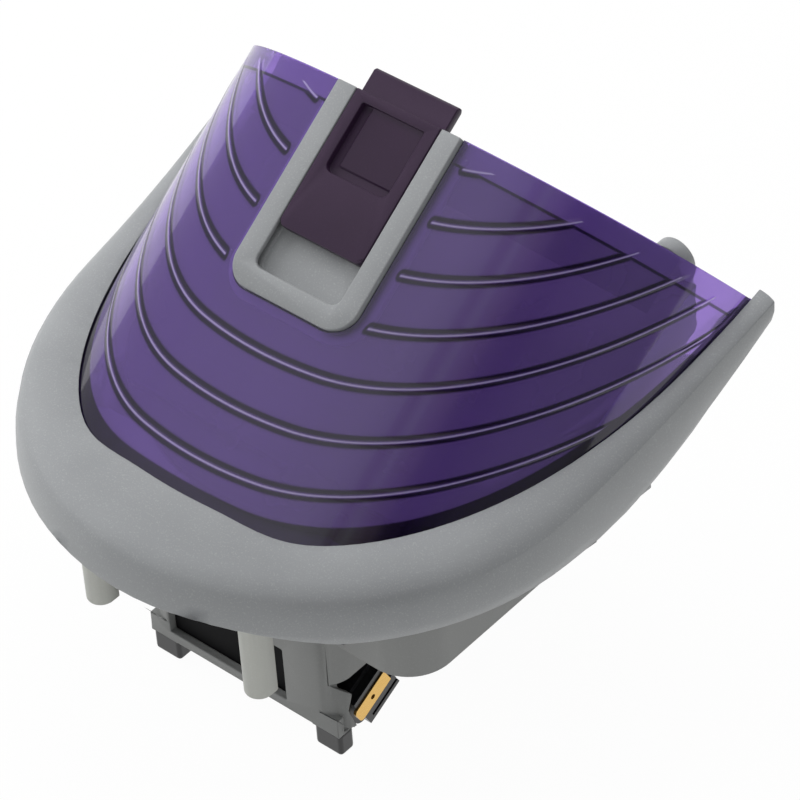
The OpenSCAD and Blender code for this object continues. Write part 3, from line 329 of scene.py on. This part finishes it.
def welded(node, whole=True, change=None):
    """The node's mesh with its doubled points joined, its flat faces made whole and then changed."""
    mesh = nodes[node].data.copy()
    bm = bmesh.new()
    bm.from_mesh(mesh)
    bmesh.ops.remove_doubles(bm, verts=bm.verts, dist=0.002 * MM)
    if whole:
        bmesh.ops.dissolve_limit(bm, angle_limit=math.radians(0.5), verts=bm.verts, edges=bm.edges)
    if change:
        change(bm)
    for face in bm.faces:
        face.smooth = True
    bm.to_mesh(mesh)
    bm.free()
    return mesh


def round_edges(piece, radius_mm, segments=2, angle=35):
    """The piece with a small radius on its sharp edges."""
    bevel = piece.modifiers.new("edges", "BEVEL")
    bevel.width, bevel.segments = radius_mm * MM, segments
    bevel.limit_method, bevel.angle_limit = "ANGLE", math.radians(angle)
    bevel.use_clamp_overlap, bevel.harden_normals = False, True
    bevel.miter_outer = "MITER_ARC"
    apply_modifiers(piece)
    return piece


def moulded(node, material, body="unit", radius_mm=0.3, whole=True, change=None):
    """A node's mesh with rounded edges, which stands for the node."""
    mesh = welded(node, whole, change)
    piece = link_piece(node + "_moulded", mesh, material, body, [node])
    return round_edges(piece, radius_mm)


def apply_modifiers(piece):
    """The piece's mesh as its modifiers leave it."""
    depsgraph = bpy.context.evaluated_depsgraph_get()
    mesh = bpy.data.meshes.new_from_object(piece.evaluated_get(depsgraph))
    piece.modifiers.clear()
    piece.data = mesh


node_slot = {part["node"]: part["material_slot"] for part in frame["record"]["subparts"]}

# %% [markdown]
# ## The hood
# The hood is one clear purple shell. Seen along its straight ridge it is an arch of three arcs: a wide crown
# and two shoulders. Its ribs lie at constant height, so rows of points at constant height follow them exactly,
# and a low bead raised on the outer skin there makes the ribs. The wall is thicker along the rear and the foot.
# The foot follows the rim's hollow line and the rear edge is a leaning plane, so each row is simply clipped
# between the two.

# %% The hood's driving sizes, in millimetres
TIP = np.array([0.0, -64.0, 72.0])
SLOPE = math.radians(34.7)
CROWN_R, SHOULDER_R, SHOULDER_X = 160.0, 66.0, 9.9
RIDGE_LEN, REAR_LEAN = 107.0, math.radians(4.2)
WALL, BORDER_H, RIB_PITCH, RIB_FIRST, RIB_COUNT = 2.4, 0.8, 8.0, 8.2, 7
BEAD_H, BEAD_HALF = 0.16, 0.5
SWEEP_R, SWEEP_MID, SWEEP_LOW, FOOT_DEEP = 330.0, 17.0, 1.7, 4.95
REAR_BAND, FRAME_CLEAR, RIB_HALF, RIB_END_R = 5.9, 3.0, 0.62, 0.6
FRAME_HALF, FRAME_FRONT, FRAME_CORNER = 18.6, 53.7, 7.0
SPREAD = math.asin(SHOULDER_X / (CROWN_R - SHOULDER_R))
CROWN_ARC = CROWN_R * SPREAD
SHOULDER_DOWN = CROWN_R - (CROWN_R - SHOULDER_R) * math.cos(SPREAD)


def arch(arc):
    """Across the hood at that arc length from the crown: x, depth below the crown, and the outward normal."""
    side, arc = np.sign(arc), np.abs(arc)
    crown = arc <= CROWN_ARC
    angle = np.where(crown, arc / CROWN_R, SPREAD + (arc - CROWN_ARC) / SHOULDER_R)
    x = np.where(crown, CROWN_R * np.sin(angle), SHOULDER_X + SHOULDER_R * np.sin(angle))
    depth = np.where(crown, CROWN_R * (1 - np.cos(angle)), SHOULDER_DOWN - SHOULDER_R * np.cos(angle))
    return side * x, depth, side * np.sin(angle), np.cos(angle)


def sweep_z(y):
    return SWEEP_LOW + SWEEP_R - np.sqrt(SWEEP_R ** 2 - (y - SWEEP_MID) ** 2)


def skin(arc, z, inward):
    """The point of the hood at that arc length and height, that far inside the outer skin (from its tip)."""
    x, depth, nx, nn = arch(arc)
    n = -depth - inward * nn
    along = (z - n * math.cos(SLOPE)) / math.sin(SLOPE)
    return np.stack([x - inward * nx, along * math.cos(SLOPE) - n * math.sin(SLOPE), z + 0 * along], -1)


def rear_z(arc, inward):
    _, depth, _, nn = arch(arc)
    n = -depth - inward * nn
    return RIDGE_LEN * math.sin(SLOPE) + n * (math.cos(SLOPE) - math.tan(REAR_LEAN) * math.sin(SLOPE))


def foot_z(arc, inward):
    z = np.zeros_like(arc)
    for _ in range(12):
        z = sweep_z(skin(arc, z, inward)[..., 1]) - FOOT_DEEP
    return z


def to_frame(x, along):
    """Distance outside the latch frame's outline, in the plane of the ridge."""
    dx = np.abs(x) - (FRAME_HALF - FRAME_CORNER)
    dy = FRAME_FRONT + FRAME_CORNER - along
    return np.hypot(np.maximum(dx, 0), np.maximum(dy, 0)) + np.minimum(np.maximum(dx, dy), 0) - FRAME_CORNER


def borders(point):
    """How far a point lies inside the ribs' clearance at the latch frame, and inside the rear and foot borders."""
    along = point[..., 1] * math.cos(SLOPE) + point[..., 2] * math.sin(SLOPE)
    n = point[..., 2] * math.cos(SLOPE) - point[..., 1] * math.sin(SLOPE)
    rear = RIDGE_LEN - n * math.tan(REAR_LEAN) - REAR_BAND - along
    # The height of the band along the foot that painted shade darkens.
    foot_shade_band = 1.4 + 1.5 * np.exp(-(point[..., 0] / 35) ** 2)
    return FRAME_CLEAR - to_frame(point[..., 0], along), rear, point[..., 2] - sweep_z(point[..., 1]) - foot_shade_band


def rib_gap(z):
    """Height between a point and the middle of the nearest rib."""
    step = np.clip(np.round((z - RIB_FIRST) / RIB_PITCH), 0, RIB_COUNT - 1)
    return np.abs(z - RIB_FIRST - step * RIB_PITCH)


arcs = np.linspace(0, 125, 2001)
A_END = arcs[np.argmax(rear_z(arcs, 0) <= foot_z(arcs, 0))]
print("the arch is", round(2 * A_END, 1), "mm round")

# %% [markdown]
# The rows crowd where a rib's sloping sides are. Points that the clipping put in one place are welded, and the
# notch for the latch frame is cut with a Boolean, which leaves a true rounded corner.

# %% The hood's shell
COLUMNS = 281
RIB_ROWS = (-1.5, -0.95, -0.75, -0.4, -0.15, 0.15, 0.4, 0.75, 0.95, 1.5)


def mm_mesh(name, points, faces):
    """A mesh from points in millimetres, measured from the hood's tip."""
    mesh = bpy.data.meshes.new(name)
    mesh.from_pydata(((np.asarray(points) + TIP) * MM).tolist(), [], faces)
    return mesh


def grid_faces(rows, columns, start, flip=False):
    faces = []
    for i in range(rows - 1):
        for j in range(columns - 1):
            a = start + i * columns + j
            face = (a, a + 1, a + columns + 1, a + columns)
            faces.append(face[::-1] if flip else face)
    return faces


def hood_mesh():
    arcs = np.linspace(-A_END, A_END, COLUMNS)
    levels = {-6.0, -4.0, 62.0, *np.arange(-3, 62, 2.0)}
    for k in range(RIB_COUNT):
        levels |= {RIB_FIRST + k * RIB_PITCH + d for d in RIB_ROWS}
    levels = np.array(sorted(levels))
    a, z = np.meshgrid(arcs, levels)
    clear, rear, foot = borders(skin(a, z, 0))
    bead = np.clip(1 - np.maximum(rib_gap(z), BEAD_HALF + clear) / BEAD_HALF, 0, 1)
    bead *= np.clip(np.minimum(rear + 3, foot), 0, 1)
    outer = skin(a, np.clip(z, foot_z(a, 0), np.maximum(rear_z(a, 0), foot_z(a, 0))), -BEAD_H * bead)
    share = np.clip(0.5 - np.minimum(rear, foot) / 5, 0, 1)
    inward = WALL + BORDER_H * share
    low, high = foot_z(a, inward), rear_z(a, inward)
    inner = skin(a, np.clip(z, low, np.maximum(low, high)), inward)
    inner[..., 1] = np.minimum(inner[..., 1], outer[..., 1].max())
    rows = len(levels)
    count = rows * COLUMNS
    faces = grid_faces(rows, COLUMNS, 0) + grid_faces(rows, COLUMNS, count, flip=True)
    top = (rows - 1) * COLUMNS
    for j in range(COLUMNS - 1):
        faces.append((j + 1, j, count + j, count + j + 1))
        faces.append((top + j, top + j + 1, count + top + j + 1, count + top + j))
    for i in range(rows - 1):
        a0, b0 = i * COLUMNS, i * COLUMNS + COLUMNS - 1
        faces.append((a0, a0 + COLUMNS, count + a0 + COLUMNS, count + a0))
        faces.append((b0 + COLUMNS, b0, count + b0, count + b0 + COLUMNS))
    mesh = mm_mesh("hood_shell", np.concatenate([outer.reshape(-1, 3), inner.reshape(-1, 3)]), faces)
    bm = bmesh.new()
    bm.from_mesh(mesh)
    bmesh.ops.remove_doubles(bm, verts=bm.verts, dist=0.01 * MM)
    bmesh.ops.dissolve_degenerate(bm, dist=0.005 * MM, edges=bm.edges)
    bmesh.ops.recalc_face_normals(bm, faces=bm.faces)
    bm.to_mesh(mesh)
    bm.free()
    return mesh


def frame_outline(grow, rear, steps=16):
    """The latch frame's outline in the plane of the ridge, as (x, along) points."""
    turn = np.linspace(0, math.pi / 2, steps)
    radius = FRAME_CORNER + grow
    cx, cy = FRAME_HALF - FRAME_CORNER, FRAME_FRONT + FRAME_CORNER
    left = [(-cx - radius * math.cos(t), cy - radius * math.sin(t)) for t in turn]
    mirrored = [(-x, y) for x, y in reversed(left)]
    return [(-FRAME_HALF - grow, rear)] + left + mirrored + [(FRAME_HALF + grow, rear)]


def ridge_prism(outline, low, high):
    """A closed prism over an outline in the plane of the ridge, between two heights square to it."""
    count = len(outline)
    points = [(x, t * math.cos(SLOPE) - n * math.sin(SLOPE), t * math.sin(SLOPE) + n * math.cos(SLOPE))
              for n in (low, high) for x, t in outline]
    faces = [tuple(range(count))[::-1], tuple(range(count, 2 * count))]
    faces += [(i, (i + 1) % count, count + (i + 1) % count, count + i) for i in range(count)]
    return mm_mesh("prism", points, faces)


def boolean(piece, tool_mesh, operation="DIFFERENCE"):
    """The piece cut by, or joined with, another closed mesh."""
    tool = bpy.data.objects.new("tool", tool_mesh)
    bpy.context.scene.collection.objects.link(tool)
    change = piece.modifiers.new("cut", "BOOLEAN")
    change.operation, change.object, change.solver = operation, tool, "EXACT"
    apply_modifiers(piece)
    bpy.data.objects.remove(tool)


hood = link_piece("hood_shell", hood_mesh(), None, "unit", ["hood"])
boolean(hood, ridge_prism(frame_outline(0.2, 140), -14, 14))
points = np.array([v.co for v in hood.data.vertices]) / MM - TIP
across = np.abs(points[:, 0])
crown_n = np.where(across < CROWN_R * math.sin(SPREAD), np.sqrt(CROWN_R ** 2 - across ** 2) - CROWN_R,
                   np.sqrt(np.maximum(SHOULDER_R ** 2 - (across - SHOULDER_X) ** 2, 0)) - SHOULDER_DOWN)
normal_to_ridge = points[:, 2] * math.cos(SLOPE) - points[:, 1] * math.sin(SLOPE)
outside = normal_to_ridge > crown_n - 0.5 * WALL
for name, values in zip(("clear_mm", "rear_mm", "foot_mm", "outside"), (*borders(points), outside)):
    hood.data.attributes.new(name, "FLOAT", "POINT").data.foreach_set("value", values.astype(np.float32))
for face in hood.data.polygons:
    face.use_smooth = True
hood.data.set_sharp_from_angle(angle=math.radians(30))
hood.visible_shadow = False


def hood_strip(name, material, from_arc, to_arc, from_t, to_t, inward, thick, steps=60):
    """A strip that follows the inside of the hood's arch, between two places along the ridge."""
    arcs = np.linspace(from_arc, to_arc, steps)
    points = []
    for t in (from_t, to_t):
        for deep in (inward, inward + thick):
            x, depth, nx, nn = arch(arcs)
            n = -depth - deep * nn
            along = t - n * math.tan(REAR_LEAN)
            points.append(np.stack([x - deep * nx, along * math.cos(SLOPE) - n * math.sin(SLOPE),
                                    along * math.sin(SLOPE) + n * math.cos(SLOPE)], -1))
    faces = []
    for a, b in ((0, 2), (3, 1), (1, 0), (2, 3)):
        for i in range(steps - 1):
            faces.append((a * steps + i, a * steps + i + 1, b * steps + i + 1, b * steps + i))
    faces += [tuple(k * steps for k in (0, 1, 3, 2)), tuple(k * steps + steps - 1 for k in (2, 3, 1, 0))]
    mesh = mm_mesh(name, np.concatenate(points), faces)
    bm = bmesh.new()
    bm.from_mesh(mesh)
    bmesh.ops.recalc_face_normals(bm, faces=bm.faces)
    bm.to_mesh(mesh)
    bm.free()
    return link_piece(name, mesh, material, "unit")


print("hood:", len(hood.data.polygons), "faces")

# %% [markdown]
# ## The hood's tinted polycarbonate
# Polycarbonate bends light strongly and shines. This one is dyed purple and hardly milky, so the black duct
# under it shows as a dark purple and white paper as lilac. Where the wall steps from thin to thick, the
# sloping step throws the light away; here that dark line round each rib and each panel is painted shade in the
# base colour. A rib's own middle gathers light, and here its paler colour is a painted highlight. Painted shade
# also darkens the band along the foot, the gap round the latch frame's notch and a soft strip on its right.
# Height gives the ribs, and three measures kept on the points give the borders.

# %% Tinted polycarbonate
tinted, tree, shader = start_finish("purple_polycarbonate", Roughness=0.06, IOR=1.58)
where = add(tree, "ShaderNodeTexCoord")
axes = add(tree, "ShaderNodeSeparateXYZ", {0: where.outputs["Object"]})
steps = add(tree, "ShaderNodeMath", {0: axes.outputs["Z"], 1: (TIP[2] + RIB_FIRST) * MM}, operation="SUBTRACT")
steps = add(tree, "ShaderNodeMath", {0: steps.outputs[0], 1: RIB_PITCH * MM}, operation="DIVIDE")
nearest = add(tree, "ShaderNodeMath", {0: steps.outputs[0]}, operation="ROUND")
nearest = add(tree, "ShaderNodeMath", {0: nearest.outputs[0], 1: 0}, operation="MAXIMUM")
nearest = add(tree, "ShaderNodeMath", {0: nearest.outputs[0], 1: RIB_COUNT - 1}, operation="MINIMUM")
off = add(tree, "ShaderNodeMath", {0: steps.outputs[0], 1: nearest.outputs[0]}, operation="SUBTRACT")
off = add(tree, "ShaderNodeMath", {0: off.outputs[0]}, operation="ABSOLUTE")
beside = add(tree, "ShaderNodeMath", {0: off.outputs[0], 1: RIB_PITCH, 2: RIB_END_R - RIB_HALF},
             operation="MULTIPLY_ADD")
clear = add(tree, "ShaderNodeAttribute", attribute_name="clear_mm")
beyond = add(tree, "ShaderNodeMath", {0: clear.outputs["Fac"], 1: RIB_END_R}, operation="ADD")
corner = add(tree, "ShaderNodeCombineXYZ", {0: beside.outputs[0], 1: beyond.outputs[0]})
corner = add(tree, "ShaderNodeVectorMath", {0: corner.outputs[0], 1: (0, 0, 0)}, operation="MAXIMUM")
corner = add(tree, "ShaderNodeVectorMath", {0: corner.outputs[0]}, operation="LENGTH")
inside = add(tree, "ShaderNodeMath", {0: beside.outputs[0], 1: beyond.outputs[0]}, operation="MAXIMUM")
inside = add(tree, "ShaderNodeMath", {0: inside.outputs[0], 1: 0}, operation="MINIMUM")
rib = add(tree, "ShaderNodeMath", {0: corner.outputs["Value"], 1: inside.outputs[0]}, operation="ADD")
rib = add(tree, "ShaderNodeMath", {0: rib.outputs[0], 1: RIB_END_R}, operation="SUBTRACT")
rear = add(tree, "ShaderNodeAttribute", attribute_name="rear_mm")
panel = add(tree, "ShaderNodeMath", {0: rib.outputs[0], 1: rear.outputs["Fac"]}, operation="MINIMUM")
edge = add(tree, "ShaderNodeMath", {0: panel.outputs[0]}, operation="ABSOLUTE")
# Painted shade: a dark line along each rib's edge and each panel's border, drawn into the base colour.
painted_rib_lines = add(tree, "ShaderNodeMapRange", {"Value": edge.outputs[0], "From Min": 0.22, "From Max": 0.55,
                                        "To Min": 1.0, "To Max": 0.0})
foot = add(tree, "ShaderNodeAttribute", attribute_name="foot_mm")
# Painted shade: the band along the foot, where the hood meets the rim, is darkened.
foot_shade_band = add(tree, "ShaderNodeMapRange", {"Value": foot.outputs["Fac"], "From Min": -0.15, "From Max": 0.15,
                                        "To Min": 1.0, "To Max": 0.0})
# Painted shade: a thin dark line in the gap round the latch frame's notch.
painted_gap_shade = add(tree, "ShaderNodeMapRange", {"Value": clear.outputs["Fac"], "From Min": 2.4, "From Max": 2.6,
                                        "To Min": 0.0, "To Max": 1.0})
# Painted shade: a soft dark strip beside the notch, on the right side only.
painted_flank_shade = add(tree, "ShaderNodeMapRange", {"Value": clear.outputs["Fac"], "From Min": 0.2, "From Max": 2.4,
                                         "To Min": 0.0, "To Max": 0.8}, interpolation_type="SMOOTHSTEP")
right_side = add(tree, "ShaderNodeMapRange", {"Value": axes.outputs["X"], "From Min": 0.012, "From Max": 0.018})
painted_flank_shade = add(tree, "ShaderNodeMath", {0: painted_flank_shade.outputs[0], 1: right_side.outputs[0]}, operation="MULTIPLY")
# All the painted shade together, on the outer skin only; it mixes the purple #9877D0 towards #261F36.
dark = add(tree, "ShaderNodeMath", {0: painted_rib_lines.outputs[0], 1: foot_shade_band.outputs[0]}, operation="MAXIMUM")
dark = add(tree, "ShaderNodeMath", {0: dark.outputs[0], 1: painted_gap_shade.outputs[0]}, operation="MAXIMUM")
dark = add(tree, "ShaderNodeMath", {0: dark.outputs[0], 1: painted_flank_shade.outputs[0]}, operation="MAXIMUM")
outside = add(tree, "ShaderNodeAttribute", attribute_name="outside")
dark = add(tree, "ShaderNodeMath", {0: dark.outputs[0], 1: outside.outputs["Fac"]}, operation="MULTIPLY")
tint_with_painted_light = add(tree, "ShaderNodeMix", {"Factor": dark.outputs[0], "A": srgb("#9877D0"), "B": srgb("#261F36")},
           data_type="RGBA")
# Painted highlight: each rib's middle is mixed towards pale lilac #B7AAD6 and made less clear.
middle = add(tree, "ShaderNodeMapRange", {"Value": rib.outputs[0], "From Min": -0.56, "From Max": -0.38,
                                          "To Min": 1.0, "To Max": 0.0})
above = add(tree, "ShaderNodeMath", {0: rear.outputs["Fac"], 1: -2.0}, operation="GREATER_THAN")
below = add(tree, "ShaderNodeMath", {0: 1.0, 1: foot_shade_band.outputs[0]}, operation="SUBTRACT")
middle = add(tree, "ShaderNodeMath", {0: middle.outputs[0], 1: above.outputs[0]}, operation="MULTIPLY")
middle = add(tree, "ShaderNodeMath", {0: middle.outputs[0], 1: below.outputs[0]}, operation="MULTIPLY")
middle = add(tree, "ShaderNodeMath", {0: middle.outputs[0], 1: outside.outputs["Fac"]}, operation="MULTIPLY")
tint_with_painted_light = add(tree, "ShaderNodeMix", {"Factor": middle.outputs[0], "A": tint_with_painted_light.outputs["Result"],
                                   "B": srgb("#B7AAD6")}, data_type="RGBA")
tree.links.new(tint_with_painted_light.outputs["Result"], shader.inputs["Base Color"])
clearness = add(tree, "ShaderNodeMapRange", {"Value": middle.outputs[0], "To Min": 0.84, "To Max": 0.5})
tree.links.new(clearness.outputs[0], shader.inputs["Transmission Weight"])
hood.data.materials.clear()
hood.data.materials.append(tinted)
print("hood dressed in", tinted.name)

# %% [markdown]
# ## The other parts
# The rim, the latch and the housing are seen from outside and get rounded copies. The motor's inner parts keep
# their CAD meshes and get their metals.

# %% Finishes of the CAD parts
EAR_SHIFT = Vector((-4, 4, -8)) * MM
EAR_X, EAR_Y = (0.0495, 0.0625), 0.0519
PIN_FRONT, PIN_TOP = -0.0598, 0.0594
COLLAR_RISE, COLLAR_HALF = 1.9, 27
FOOT_BOX = (0.0221, 0.0305, 0.0049, 0.0068)


def reshape_rim(bm):
    """The ears stand a little further in, back and down, and the collar rises a little at the hood's crown."""
    for point in bm.verts:
        x, y, z = np.array(point.co) / MM - TIP
        out = z * math.cos(SLOPE) - y * math.sin(SLOPE) + CROWN_R - math.sqrt(CROWN_R ** 2 - min(x * x, 2500))
        if abs(x) < 50 and z > -2 and y < 20:
            rise = COLLAR_RISE * math.exp(-(x / COLLAR_HALF) ** 4) * min(max(1 - (out - 0.3) / 5.5, 0), 1)
            point.co += Vector((0, rise / math.tan(SLOPE), rise)) * MM
    for point in bm.verts:
        if point.co.y > EAR_Y and EAR_X[0] < abs(point.co.x) < EAR_X[1]:
            lift = (EAR_SHIFT.z if point.co.x > 0 else 1.7 * EAR_SHIFT.z) if point.co.z > 0.07 else 0
            point.co += Vector((math.copysign(1, point.co.x) * EAR_SHIFT.x, EAR_SHIFT.y, lift))
            point.co.y = min(point.co.y, cad_box[1].y)


def cut_feet(bm):
    """The grey lugs end at the base; black feet go on below."""
    bmesh.ops.bisect_plane(bm, geom=[*bm.verts, *bm.edges, *bm.faces], plane_co=(0, 0, 0), plane_no=(0, 0, -1),
                           clear_outer=True)
    edges = [edge for edge in bm.edges if edge.is_boundary]
    bmesh.ops.holes_fill(bm, edges=edges)


for side_name, start, end in (("left", -47, -20), ("right", 19.5, 78)):
    hood_strip("duct_lip_" + side_name, black_abs, start, end, 92, 100.9, 3.4, 1.0)
    hood_strip("duct_edge_" + side_name, silver_abs, start, end, 101, 106.9, 3.4, 1.0)
silver = moulded("rim", silver_abs, radius_mm=0.25, change=reshape_rim)
silver.data.materials.append(pin_abs)
for face in silver.data.polygons:
    if face.center.y < PIN_FRONT and face.center.z < PIN_TOP - 0.004 and abs(abs(face.center.x) - 0.0253) < 0.0039:
        face.material_index = 1
cover = moulded("duct_cover", black_abs, radius_mm=0.25)
# Painted light: the cover's outer side walls get the near-white finish.
cover.data.materials.append(painted_light_side)
for face in cover.data.polygons:
    if abs(face.center.x) > 0.0645 and abs(face.normal.x) > 0.9:
        face.material_index = 1
moulded("latch_frame", silver_abs, radius_mm=0.35)
moulded("latch_slider", aubergine_abs, "slider", 0.3, whole=False)
moulded("motor_housing", housing_abs, radius_mm=0.3, change=cut_feet)
# Painted shade: a thin matt black sheet behind the housing's window keeps the opening dark.
bm = bmesh.new()
bmesh.ops.create_cube(bm, size=1)
bmesh.ops.scale(bm, vec=(0.044, 0.0004, 0.0215), verts=bm.verts)
bmesh.ops.translate(bm, vec=(-0.003, -0.042, 0.01295), verts=bm.verts)
mesh = bpy.data.meshes.new("window_shade_backing")
bm.to_mesh(mesh)
bm.free()
link_piece("window_shade_backing", mesh, window_shade_black, "unit")
for side_x in (-1, 1):
    for side_y, y in ((1, -0.0441), (-1, 0.0397)):
        bm = bmesh.new()
        bmesh.ops.create_cube(bm, size=1)
        x0, x1, deep, tall = FOOT_BOX
        bmesh.ops.scale(bm, vec=(x1 - x0, deep, tall + 0.0003), verts=bm.verts)
        bmesh.ops.translate(bm, vec=(side_x * (x0 + x1) / 2, y + side_y * deep / 2, (0.0003 - tall) / 2), verts=bm.verts)
        mesh = bpy.data.meshes.new("foot")
        bm.to_mesh(mesh)
        bm.free()
        for face in mesh.polygons:
            face.use_smooth = True
        name = "foot_%s_%s" % ("left" if side_x < 0 else "right", "front" if side_y > 0 else "rear")
        round_edges(link_piece(name, mesh, black_abs, "unit"), 1.1, 4)
FINISH = {"purple_polycarbonate": tinted, "silver_grey_abs": silver_abs, "aubergine_abs": aubergine_abs,
          "mid_grey_plastic": housing_abs, "black_plastic": black_abs, "rubber": rubber, "plated_steel": zinc,
          "ground_steel": ground, "spring_steel": spring_wire, "cast_aluminium": cast,
          "sheet_aluminium": sheet, "lamination_steel": laminations, "enamelled_copper": copper_wire,
          "commutator_copper": turned_copper, "brass": brass, "carbon": carbon}
for name, part in nodes.items():
    part.data.materials.clear()
    part.data.materials.append(FINISH[node_slot[name]])
print(len(nodes), "CAD nodes have a finish")

# %% [markdown]
# ## The latch's spring
# The spring's front end rests in the frame and its rear end is pushed by the slide. A copy of its mesh takes
# its place, with its placement baked into the points.

# %% Spring
coil = bpy.data.objects.new("latch_spring_coil", nodes["latch_spring"].data.copy())
bpy.context.scene.collection.objects.link(coil)
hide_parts("latch_spring")
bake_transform(coil)
